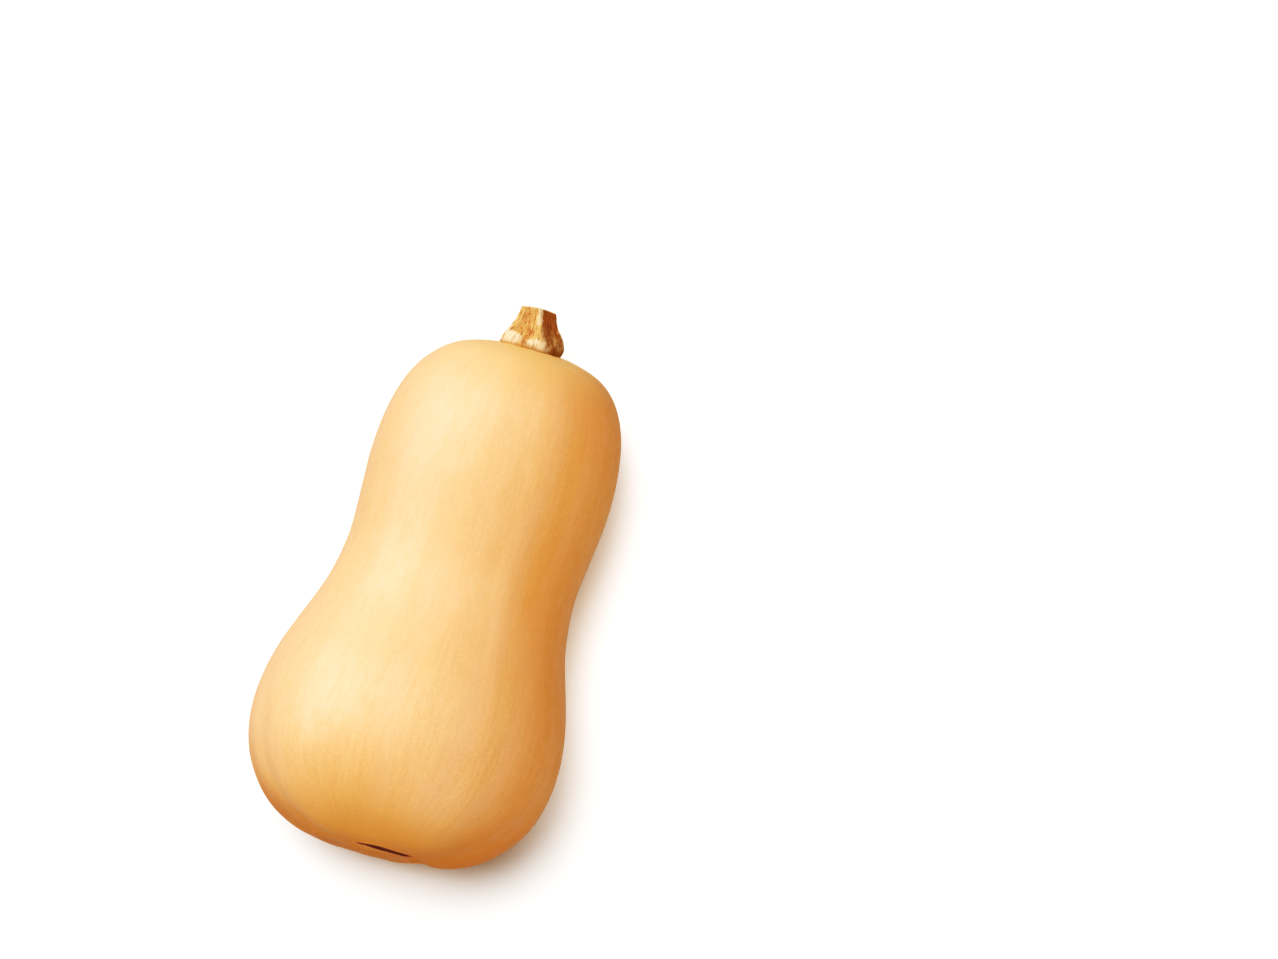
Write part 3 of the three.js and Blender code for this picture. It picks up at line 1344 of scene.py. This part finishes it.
class Effects:
    """The patterns that both finishes use, each a node group that is built once."""

    STREAK_ROUGHNESS = 0.55
    STREAK_RANGE = (0.25, 0.75)
    FLECK_CORE = 0.45

    def __init__(self) -> None:
        """Builds the groups."""
        self.streaks = self._streaks()
        self.flecks = self._flecks()

    @staticmethod
    def _start(
        name: str, inputs: dict[str, float]
    ) -> tuple[bpy.types.NodeTree, Board, bpy.types.Node]:
        """Starts a group that takes a place and some numbers and puts out a mask.

        Args:
            name: The group's name.
            inputs: The numbers and their usual values.

        Returns:
            The group, a board on it and its input node.
        """
        tree = bpy.data.node_groups.new(name, "ShaderNodeTree")
        tree.interface.new_socket("Place", in_out="INPUT", socket_type="NodeSocketVector")
        for label, value in inputs.items():
            socket = tree.interface.new_socket(label, in_out="INPUT", socket_type="NodeSocketFloat")
            socket.default_value = value
        tree.interface.new_socket("Mask", in_out="OUTPUT", socket_type="NodeSocketFloat")
        board = Board(tree)
        return tree, board, board.node("NodeGroupInput")

    @staticmethod
    def _stretch(board: Board, entry: bpy.types.Node) -> Socket:
        """Measures the place in widths across and lengths along the growth.

        Args:
            board: The board of the group.
            entry: The group's input node, with Place, Width, Length and Seed.

        Returns:
            The stretched place.
        """
        across = board.math("DIVIDE", 1.0, entry.outputs["Width"])
        along = board.math("DIVIDE", 1.0, entry.outputs["Length"])
        scale = board.node("ShaderNodeCombineXYZ")
        for socket, value in zip(scale.inputs, (across, along, across)):
            board.feed(socket, value)
        made = board.node("ShaderNodeVectorMath", operation="MULTIPLY_ADD")
        board.feed(made.inputs[0], entry.outputs["Place"])
        board.feed(made.inputs[1], scale.outputs[0])
        board.feed(made.inputs[2], entry.outputs["Seed"])
        return made.outputs[0]

    @staticmethod
    def _streaks() -> bpy.types.NodeTree:
        """Builds soft uneven streaks along the growth.

        Returns:
            The group. Its mask lies around 0.5.
        """
        numbers = {"Width": 0.001, "Length": 0.01, "Seed": 0.0, "Detail": 2.0}
        tree, board, entry = Effects._start("growth_streaks", numbers)
        pattern = board.node("ShaderNodeTexNoise")
        board.feed(pattern.inputs["Vector"], Effects._stretch(board, entry))
        board.feed(pattern.inputs["Scale"], 1.0)
        board.feed(pattern.inputs["Detail"], entry.outputs["Detail"])
        board.feed(pattern.inputs["Roughness"], Effects.STREAK_ROUGHNESS)
        mask = board.grade(pattern.outputs["Fac"], *Effects.STREAK_RANGE)
        board.feed(board.node("NodeGroupOutput").inputs["Mask"], mask)
        return tree

    @staticmethod
    def _flecks() -> bpy.types.NodeTree:
        """Builds scattered flecks.

        Returns:
            The group. Its mask is 1 in the middle of a fleck.
        """
        numbers = {"Width": 0.001, "Length": 0.002, "Seed": 0.0, "Size": 0.3, "Share": 0.5}
        tree, board, entry = Effects._start("scattered_flecks", numbers)
        cells = board.node("ShaderNodeTexVoronoi")
        board.feed(cells.inputs["Vector"], Effects._stretch(board, entry))
        board.feed(cells.inputs["Scale"], 1.0)
        inner = board.times(entry.outputs["Size"], Effects.FLECK_CORE)
        spot = board.grade(cells.outputs["Distance"], entry.outputs["Size"], inner)
        pick = board.node("ShaderNodeSeparateColor")
        board.feed(pick.inputs[0], cells.outputs["Color"])
        chosen = board.math("LESS_THAN", pick.outputs[0], entry.outputs["Share"])
        board.feed(board.node("NodeGroupOutput").inputs["Mask"], board.times(spot, chosen))
        return tree


@dataclass(frozen=True)
class Streaks:
    """One use of the streaks: their size in metres, and their pull on the hue and on the light."""

    width: float
    length: float
    seed: float
    detail: float = 2.0
    hue: float = 0.0
    light: float = 0.0

    def draw(self, board: Board, effects: Effects, place: Feed) -> Socket:
        """Lays the streaks on the surface and gives their mask, which lies around 0.5."""
        sizes = {"Width": self.width, "Length": self.length, "Seed": self.seed}
        return board.group(effects.streaks, Place=place, **sizes, Detail=self.detail)


@dataclass(frozen=True)
class Flecks:
    """One use of the flecks: the size of their cells in metres, their own size, and how many."""

    width: float
    length: float
    seed: float
    size: float
    share: float

    def draw(self, board: Board, effects: Effects, place: Feed) -> Socket:
        """Lays the flecks on the surface and gives their mask, 1 in the middle of a fleck."""
        sizes = {"Width": self.width, "Length": self.length, "Seed": self.seed}
        return board.group(effects.flecks, Place=place, **sizes, Size=self.size, Share=self.share)


@dataclass(frozen=True)
class Relief:
    """Fine relief of a finish: its strength, and its height in metres."""

    strength: float
    distance: float

    def lay(self, board: Board, height: Feed, shader: bpy.types.Node) -> None:
        """Joins the relief to the shader.

        Args:
            board: The material's board.
            height: The pattern of the relief.
            shader: The material's shader.
        """
        bump = board.node("ShaderNodeBump")
        bump.inputs["Strength"].default_value = self.strength
        bump.inputs["Distance"].default_value = self.distance
        board.feed(bump.inputs["Height"], height)
        board.feed(shader.inputs["Normal"], bump.outputs["Normal"])


@dataclass(frozen=True)
class SkinFinish:
    """Waxy rind with soft bands, mottling and fine flecks. Sizes are in metres.

    A ramp is where a grade starts and ends, and the two grades there.
    """

    name: str = "waxy_rind"
    bands: Streaks = Streaks(0.013, 0.16, seed=1.0, hue=0.11, light=0.01)
    streaks: Streaks = Streaks(0.0016, 0.014, seed=2.0, hue=0.06, light=0.05)
    clouds: Streaks = Streaks(0.005, 0.006, seed=3.0, detail=3.0, hue=0.06)
    grain: Streaks = Streaks(0.0009, 0.0012, seed=4.0, hue=0.05, light=0.07)
    flecks: Flecks = Flecks(0.0016, 0.0036, seed=5.0, size=0.22, share=0.25)
    fleck_share: float = 0.12
    blush: Streaks = Streaks(0.015, 0.08, seed=15.0, detail=1.0)
    blush_ramp: tuple[float, ...] = (0.35, 0.95, 0.0, 0.2)
    tints: tuple[tuple[str, float, Tone], ...] = (
        ("blossom", 0.85, Tone.SKIN_RUST),
        # Painted shade on the right flank.
        ("painted_flank_shade", 0.36, Tone.SKIN_EMBER_SHADE),
        # Painted shade on the low side of the blossom end.
        ("painted_blossom_shade", 0.86, Tone.SKIN_EMBER_SHADE),
        # Painted shadow line along the scar's lip.
        ("lip_shadow_line", 0.85, Tone.SCAR_CORK_AND_LIP_SHADOW),
        ("seat", 0.42, Tone.SKIN_GOLD),
        # Painted shade where the skin meets the stem.
        ("joint_shade", 0.6, Tone.RUST_AND_SHADE),
    )
    ragged: Streaks = Streaks(0.0007, 0.0007, seed=6.0, detail=3.0)
    ragged_share: float = 0.6
    ragged_ramp: tuple[float, ...] = (0.3, 0.8)
    cork_fibres: Streaks = Streaks(0.0007, 0.002, seed=9.0, detail=3.0)
    cork_fibre_share: float = 0.9
    cork_ramp: tuple[float, ...] = (0.35, 1.05)
    core_fibre_ramp: tuple[float, ...] = (0.2, 0.75, 1.0, 0.55)
    core_shade_ramp: tuple[float, ...] = (0.0, 2.0, 1.0, 0.0)
    roughness: float = 0.44
    cloud_roughness: float = 0.12
    scar_roughness: float = 0.9
    relief: Relief = Relief(0.35, 0.00012)
    skin_relief: float = 0.2
    scar_relief: float = 3.0
    gloss: float = 0.75
    subsurface: float = 0.15
    subsurface_radius: tuple[float, float, float] = (1.0, 0.4, 0.15)
    subsurface_scale: float = 0.003

    def make(self, effects: Effects) -> bpy.types.Material:
        """Builds the node material.

        Args:
            effects: The shared patterns.

        Returns:
            The new material.
        """
        material, board, shader = start_material(self.name)
        place, mottle = board.tag("grown", "Vector"), board.tag("mottle")
        own = board.node("ShaderNodeTexCoord").outputs["Object"]
        # The tone starts from the painted light and shade: deeper on the right flank, paler on the
        # bulb.
        tone, light, drawn = board.tag("painted_light_and_shade"), 1.0, []
        for use, where in (
            (self.bands, place), (self.streaks, place), (self.clouds, own), (self.grain, own),
        ):
            drawn.append(use.draw(board, effects, where))
            shift = board.around(drawn[-1], mottle)
            tone = board.plus(tone, board.times(shift, use.hue))
            light = board.minus(light, board.times(shift, use.light))
        _, streaks, clouds, grain = drawn
        skin = board.mix(tone, Tone.SKIN_PALE.value, Tone.SKIN_DEEP.value)
        skin = board.mix(1.0, skin, light, "MULTIPLY")
        blush = board.grade(self.blush.draw(board, effects, place), *self.blush_ramp)
        skin = board.mix(board.times(blush, mottle), skin, Tone.SKIN_BLUSH.value)
        flecks = board.times(self.flecks.draw(board, effects, place), self.fleck_share)
        skin = board.mix(flecks, skin, Tone.SKIN_CREAM.value)
        for tag, share, tint in self.tints:
            skin = board.mix(board.times(board.tag(tag), share), skin, tint.value)
        fibres = self.cork_fibres.draw(board, effects, own)
        scar = self._scar_share(board, self.ragged.draw(board, effects, own))
        board.feed(shader.inputs["Base Color"], board.mix(scar, skin, self._cork(board, fibres)))
        rough = board.plus(self.roughness, board.times(clouds, self.cloud_roughness))
        rough = board.math("MAXIMUM", rough, board.times(scar, self.scar_roughness))
        board.feed(shader.inputs["Roughness"], rough)
        relief = board.times(board.plus(grain, streaks), board.times(mottle, self.skin_relief))
        relief = board.plus(relief, board.times(board.times(fibres, scar), self.scar_relief))
        self.relief.lay(board, relief, shader)
        for name, value in (
            ("Specular IOR Level", self.gloss),
            ("Subsurface Weight", self.subsurface),
            ("Subsurface Radius", self.subsurface_radius),
            ("Subsurface Scale", self.subsurface_scale),
        ):
            shader.inputs[name].default_value = value
        return material

    def _scar_share(self, board: Board, ragged: Feed) -> Socket:
        """Where the surface is scar, with a ragged edge."""
        edge = board.plus(board.tag("scar"), board.around(ragged, self.ragged_share))
        return board.grade(edge, *self.ragged_ramp)

    def _cork(self, board: Board, fibres: Feed) -> Socket:
        """Colours the cork of the scar: dark in its ring, partly as painted shade of the pit, tan in
        its old core.

        Args:
            board: The material's board.
            fibres: The pattern of the cork's fibres.

        Returns:
            The colour.
        """
        dark = board.tag("scar_dark_and_pit_shade")
        shade = board.plus(dark, board.times(fibres, self.cork_fibre_share))
        cork = board.mix(board.grade(shade, *self.cork_ramp), Tone.SCAR_CORK_AND_LIP_SHADOW.value, Tone.SCAR_DARK_AND_SHADE.value)
        core = board.times(board.tag("scar_core"), board.grade(fibres, *self.core_fibre_ramp))
        core = board.times(core, board.grade(dark, *self.core_shade_ramp))
        return board.mix(core, cork, Tone.SCAR_TAN.value)


@dataclass(frozen=True)
class StemFinish:
    """Dry corky fibre: straw faces, rust faces partly painted shade, cream ribs and foot. Sizes are
    in metres.

    A ramp is where a grade starts and ends, and the two grades there.
    """

    name: str = "dry_stem_fibre"
    roughness: float = 0.8
    fibres: Streaks = Streaks(0.0006, 0.0035, seed=1.0, detail=3.0)
    strands: Streaks = Streaks(0.0016, 0.008, seed=2.0, hue=0.8)
    blotches: Streaks = Streaks(0.0032, 0.0030, seed=3.0, hue=0.4)
    grain: Streaks = Streaks(0.0005, 0.0006, seed=7.0, detail=3.0, hue=0.7)
    patches: Streaks = Streaks(0.0046, 0.0040, seed=11.0, detail=0.5)
    warts: Flecks = Flecks(0.0005, 0.0007, seed=4.0, size=0.42, share=0.45)
    wart_share: float = 0.12
    brown_share: float = 0.7
    hollow_start: float = 0.6
    hollow_share: float = 0.35
    rust_ramp: tuple[float, ...] = (-0.2, 0.8)
    bark_ramp: tuple[float, ...] = (0.45, 0.9, 0.0, 0.75)
    patch_rise: float = 1.1
    patch_brown: float = 0.45
    patch_grain: float = 0.18
    foot_ramp: tuple[float, ...] = (0.1, 0.75, 0.0, 0.72)
    foot_fibre_ramp: tuple[float, ...] = (0.45, 0.85, 1.0, 0.6)
    ridge_blotches: float = 0.6
    ridge_ramp: tuple[float, ...] = (0.72, 1.1, 0.0, 0.5)
    rim_share: float = 0.4
    contact_share: float = 0.8
    relief: Relief = Relief(0.6, 0.0002)
    grain_relief: float = 0.8
    wart_relief: float = 0.2

    def make(self, effects: Effects) -> bpy.types.Material:
        """Builds the node material.

        Args:
            effects: The shared patterns.

        Returns:
            The new material.
        """
        material, board, shader = start_material(self.name)
        place = board.tag("grown", "Vector")
        fibres, strands, blotches, grain, patches, warts = (
            pattern.draw(board, effects, place)
            for pattern in (
                self.fibres, self.strands, self.blotches, self.grain, self.patches, self.warts,
            )
        )
        # Rust on one side, partly painted shade, and in the hollow faces.
        brown_and_shade = board.times(board.tag("brown_and_shade"), self.brown_share)
        hollow = board.times(board.minus(self.hollow_start, board.tag("rib")), self.hollow_share)
        brown_and_shade = board.plus(brown_and_shade, hollow)
        for pattern, hue in (
            (strands, self.strands.hue), (grain, self.grain.hue), (blotches, self.blotches.hue),
        ):
            brown_and_shade = board.plus(brown_and_shade, board.around(pattern, hue))
        fibre = board.mix(board.grade(brown_and_shade, *self.rust_ramp), Tone.STRAW.value, Tone.RUST_AND_SHADE.value)
        fibre = board.mix(board.grade(fibres, *self.bark_ramp), fibre, Tone.BARK.value)
        pale = self._pale(board, fibres, blotches, grain, patches)
        fibre = board.mix(pale, fibre, Tone.CREAM.value)
        fibre = board.mix(board.times(warts, self.wart_share), fibre, Tone.CREAM.value)
        pith = board.mix(fibres, Tone.PITH.value, Tone.STRAW.value)
        fibre = board.mix(board.tag("cut"), fibre, pith)
        # Painted shade where the stem meets the skin.
        joint_shade = board.times(board.tag("joint_shade"), self.contact_share)
        board.feed(shader.inputs["Base Color"], board.mix(joint_shade, fibre, Tone.STEM_JOINT_SHADE.value))
        shader.inputs["Roughness"].default_value = self.roughness
        relief = board.plus(fibres, board.times(grain, self.grain_relief))
        relief = board.plus(relief, board.times(warts, self.wart_relief))
        self.relief.lay(board, relief, shader)
        return material

    def _pale(
        self, board: Board, fibres: Feed, blotches: Feed, grain: Feed, patches: Feed
    ) -> Socket:
        """Where the stem is cream: in patches at its foot, on its ribs and on the rim of the cut.

        Args:
            board: The material's board.
            fibres: The fine fibres.
            blotches: The blotches.
            grain: The finest grain.
            patches: The large patches.

        Returns:
            The mask, from 0 to 1.
        """
        patch = board.minus(patches, board.times(board.tag("height"), self.patch_rise))
        patch = board.minus(patch, board.times(board.tag("brown_and_shade"), self.patch_brown))
        patch = board.plus(patch, board.around(grain, self.patch_grain))
        foot = board.grade(patch, *self.foot_ramp)
        foot = board.times(foot, board.grade(fibres, *self.foot_fibre_ramp))
        ridge = board.plus(board.tag("rib"), board.around(blotches, self.ridge_blotches))
        ridge = board.grade(ridge, *self.ridge_ramp)
        rim = board.times(board.tag("rim"), self.rim_share)
        return board.math("MAXIMUM", rim, board.math("MAXIMUM", foot, ridge))


# ------------------------------------------------------------------------------- the studio


class Lit(Enum):
    """What a light falls on."""

    SQUASH = "lit_squash"
    FLOOR = "lit_floor"


@dataclass(frozen=True)
class SoftLight:
    """A large, far softbox. Angles are in degrees, and the bearing is 0 to the camera's right.

    One from below stands for light that the floor throws back, so the floor does not block it.
    """

    name: str
    elevation: float
    bearing: float
    power: float
    spread: float = 55.0
    falls_on: Lit = Lit.SQUASH


@dataclass
class Studio:
    """The floor, the lights and the camera. Sizes are in metres, angles in degrees."""

    camera_place: tuple[float, float, float] = (0.0542, 0.06, 1.134)
    camera_turn: float = 17.81
    lens: float = 80.0
    sensor: float = 36.0
    view_depth: float = 100.0
    floor_size: float = 40.0
    sky: float = 0.05
    backdrop: float = 1.4
    glow: float = 0.6
    glow_reach: float = 0.2
    glow_most: float = 0.45
    glow_samples: int = 8
    lights: tuple[SoftLight, ...] = (
        SoftLight("key", 30.0, 143.0, 1.24, 60.0),
        SoftLight("overhead", 70.0, 50.0, 0.47, 55.0),
        SoftLight("back", 40.0, 60.0, 0.35, 60.0),
        SoftLight("front", 27.0, -75.0, 0.48, 60.0),
        SoftLight("right", 12.0, -10.0, 0.07, 90.0),
        SoftLight("from_below", -80.0, -90.0, 0.14, 60.0),
        SoftLight("floor_left", 69.0, 120.0, 0.71, 26.0, Lit.FLOOR),
        SoftLight("floor_back", 71.0, 88.0, 0.90, 26.0, Lit.FLOOR),
        SoftLight("floor_fill", 45.0, -70.0, 0.08, 90.0, Lit.FLOOR),
    )
    print_range: float = 2.0
    print_channel: int = 3
    print_curve: tuple[tuple[float, float], ...] = (
        (0.05, 0.0065), (0.1, 0.0258), (0.2, 0.097), (0.35, 0.258), (0.5, 0.436), (0.7, 0.645),
        (0.9, 0.804), (1.1, 0.919), (1.3, 1.0),
    )

    def build(self) -> None:
        """Sets up everything that isn't the squash."""
        self._camera()
        self._floor()
        for light in self.lights:
            self._light(light)
        self._sky()

    def _camera(self) -> None:
        """Hangs the camera over the squash, looking straight down."""
        data = bpy.data.cameras.new("camera")
        data.lens = self.lens
        data.sensor_width = self.sensor
        data.sensor_fit = "HORIZONTAL"
        data.clip_end = self.view_depth
        camera = bpy.data.objects.new("camera", data)
        camera.location = self.camera_place
        camera.rotation_euler = (0.0, 0.0, math.radians(self.camera_turn))
        bpy.context.scene.collection.objects.link(camera)
        bpy.context.scene.camera = camera

    def _floor(self) -> None:
        """Lays the pale floor, with a painted warm glow near the squash that only the camera sees,
        for light the squash throws back.
        """
        Bench.clear()
        bpy.ops.mesh.primitive_plane_add(size=self.floor_size, location=(0.0, 0.0, 0.0))
        floor = bpy.context.object
        floor.name = "floor"
        material, board, _ = start_material("pale_floor")
        material.node_tree.nodes.clear()
        seen = board.node("ShaderNodeLightPath").outputs["Is Camera Ray"]
        paper = board.node("ShaderNodeBsdfDiffuse")
        tone = board.mix(seen, Tone.FLOOR_BOUNCE.value, Tone.FLOOR.value)
        board.feed(paper.inputs["Color"], tone)
        # Painted light: a warm glow on the floor near the squash, in place of the light it throws
        # back.
        cover = board.node("ShaderNodeAmbientOcclusion", samples=self.glow_samples)
        cover.inputs["Distance"].default_value = self.glow_reach
        glow = board.node("ShaderNodeEmission")
        glow.inputs["Color"].default_value = Tone.GLOW.value
        near = board.math("MINIMUM", board.minus(1.0, cover.outputs["AO"]), self.glow_most)
        near = board.times(near, self.glow)
        board.feed(glow.inputs["Strength"], board.times(near, seen))
        both = board.node("ShaderNodeAddShader")
        board.feed(both.inputs[0], paper.outputs[0])
        board.feed(both.inputs[1], glow.outputs[0])
        board.feed(board.node("ShaderNodeOutputMaterial").inputs["Surface"], both.outputs[0])
        floor.data.materials.append(material)
        Studio.group_of(Lit.FLOOR).objects.link(floor)

    @staticmethod
    def group_of(lit: Lit) -> bpy.types.Collection:
        """The collection that a light falls on, made when it is first asked for."""
        return bpy.data.collections.get(lit.value) or bpy.data.collections.new(lit.value)

    def _light(self, light: SoftLight) -> None:
        """Hangs one softbox.

        Args:
            light: The softbox.
        """
        data = bpy.data.lights.new(light.name, "SUN")
        data.energy = light.power * math.pi
        data.angle = math.radians(light.spread)
        lamp = bpy.data.objects.new(light.name, data)
        lamp.light_linking.receiver_collection = self.group_of(light.falls_on)
        if light.elevation < 0.0:
            lamp.light_linking.blocker_collection = self.group_of(light.falls_on)
        bearing = math.radians(light.bearing + self.camera_turn)
        elevation = math.radians(light.elevation)
        level = math.cos(elevation)
        towards = Vector(
            (level * math.cos(bearing), level * math.sin(bearing), math.sin(elevation))
        )
        lamp.rotation_euler = towards.to_track_quat("Z", "Y").to_euler()
        bpy.context.scene.collection.objects.link(lamp)

    def _sky(self) -> None:
        """Sets up a surround that is white to the camera and lights little."""
        scene = bpy.context.scene
        world = bpy.data.worlds.new("surround")
        world.use_nodes = True
        board = Board(world.node_tree)
        seen = board.node("ShaderNodeLightPath").outputs["Is Camera Ray"]
        background = world.node_tree.nodes["Background"]
        background.inputs["Color"].default_value = (1.0, 1.0, 1.0, 1.0)
        strength = board.grade(seen, 0.0, 1.0, self.sky, self.backdrop)
        board.feed(background.inputs["Strength"], strength)
        scene.world = world
        scene.cycles.use_denoising = True
        self._print(scene.view_settings)

    def _print(self, view: bpy.types.ColorManagedViewSettings) -> None:
        """Gives the picture the contrast of a studio print.

        Args:
            view: The scene's view settings.
        """
        view.view_transform = "Standard"
        view.use_curve_mapping = True
        mapping = view.curve_mapping
        mapping.clip_max_x = mapping.clip_max_y = self.print_range
        curve = mapping.curves[self.print_channel]
        curve.points[-1].location = self.print_curve[-1]
        for light, shown in self.print_curve[:-1]:
            curve.points.new(light, shown)
        mapping.update()


# ------------------------------------------------------------------------------- the whole squash


@dataclass(frozen=True)
class Joint:
    """The shaded line where the stem has grown to the skin. Sizes are in metres."""

    stem_reach: float = 0.0011
    skin_reach: float = 0.0007
    foot_height: float = 0.012
    skin_around: float = 0.03

    def tag(self, fruit: Piece, stub: Piece) -> None:
        """Stores on both pieces how close they are to each other.

        Args:
            fruit: The finished fruit.
            stub: The finished stub.
        """
        foot, skin = Bench.places(stub), Bench.places(fruit)
        low = foot[:, 1] < foot[:, 1].min() + self.foot_height
        beside = np.linalg.norm(skin - foot.mean(axis=0), axis=1) < self.skin_around
        self._tag_closeness(stub, fruit, self.stem_reach, low)
        self._tag_closeness(fruit, stub, self.skin_reach, beside)

    @staticmethod
    def _tag_closeness(piece: Piece, other: Piece, reach: float, near: np.ndarray) -> None:
        """Stores how close each corner of a piece lies to another piece: 1 where they touch.

        Args:
            piece: The piece that is tagged.
            other: The piece that it touches.
            reach: Distance in metres at which the closeness has fallen to about a third.
            near: Which corners can be close at all.
        """
        closeness = np.zeros(len(near))
        places = Bench.places(piece)
        for index in np.nonzero(near)[0].tolist():
            place = Vector(places[index])
            _, point, _, _ = other.closest_point_on_mesh(place)
            closeness[index] = math.exp(-(((point - place).length / reach) ** 2))
        Bench.tag(piece, joint_shade=closeness)


def hand_over(
    piece: Piece, material: bpy.types.Material, node: str
) -> None:
    """Dresses a finished piece and gives it to the frame.

    Args:
        piece: The finished mesh object.
        material: Its finish.
        node: The CAD node that it stands for.
    """
    piece.data.materials.clear()
    piece.data.materials.append(material)
    Studio.group_of(Lit.SQUASH).objects.link(piece)
    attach(piece, BODY)
    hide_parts(node)
    log.info("%s: %d faces", piece.name, len(piece.data.polygons))


def main() -> None:
    """Builds the studio and both pieces of the squash."""
    logging.basicConfig(level=logging.INFO, format="%(name)s: %(message)s")
    Studio().build()
    form, effects = GourdForm(), Effects()
    fruit = SquashFruit(form).build()
    stub = StemStub(form).build()
    Joint().tag(fruit, stub)
    hand_over(fruit, SkinFinish().make(effects), "squash_body")
    hand_over(stub, StemFinish().make(effects), "stem")


if __name__ == "__main__":
    main()
